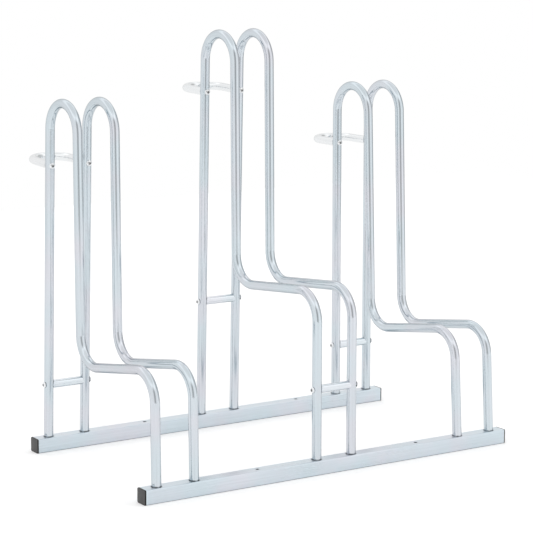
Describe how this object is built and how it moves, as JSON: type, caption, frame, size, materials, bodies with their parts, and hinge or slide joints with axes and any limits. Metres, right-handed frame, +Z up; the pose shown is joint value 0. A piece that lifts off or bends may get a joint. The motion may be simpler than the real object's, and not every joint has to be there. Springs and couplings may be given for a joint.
{
  "type": "floor bike rack",
  "caption": "Floor rack for bicycles: bent steel tube pairs on square base bars, one place higher than the others, with cross tubes, rear hoops and black end caps.",
  "frame": {"origin": "on the floor, in the middle of the whole width and depth of the rack", "axes": "+X along the base bars to the right as a rider faces the rack, +Y from the front bar to the rear bar and the hoops, +Z up"},
  "size_m": [0.73, 0.4792, 0.7169],
  "materials": {
    "zinc_bar": "zinc plated steel, pale bluish satin",
    "zinc_tube": "zinc plated steel, satin to bright, faint lengthwise streaks",
    "zinc_cross": "zinc plated steel, satin",
    "zinc_hoop": "zinc plated steel, bright",
    "zinc_screw": "zinc plated steel, bright",
    "plain_steel": "plain turned steel",
    "black_plastic": "black moulded plastic, matt"
  },
  "bodies": {
    "root": {"rear_bar": "zinc_bar", "front_bar": "zinc_bar", "cap_rear_left": "black_plastic", "cap_rear_right": "black_plastic", "cap_front_left": "black_plastic", "cap_front_right": "black_plastic", "left_tube_a": "zinc_tube", "left_tube_b": "zinc_tube", "middle_tube_a": "zinc_tube", "middle_tube_b": "zinc_tube", "right_tube_a": "zinc_tube", "right_tube_b": "zinc_tube", "left_cross_tube": "zinc_cross", "middle_cross_tube": "zinc_cross", "right_cross_tube": "zinc_cross", "front_cross_tube": "zinc_cross", "left_hoop": "zinc_hoop", "middle_hoop": "zinc_hoop", "right_hoop": "zinc_hoop", "cross_screws": "zinc_screw", "hoop_screws": "zinc_screw", "cross_plugs": "plain_steel", "hoop_plugs": "plain_steel", "foot_screws": "zinc_screw", "foot_plugs": "plain_steel"}
  },
  "joints": []
}
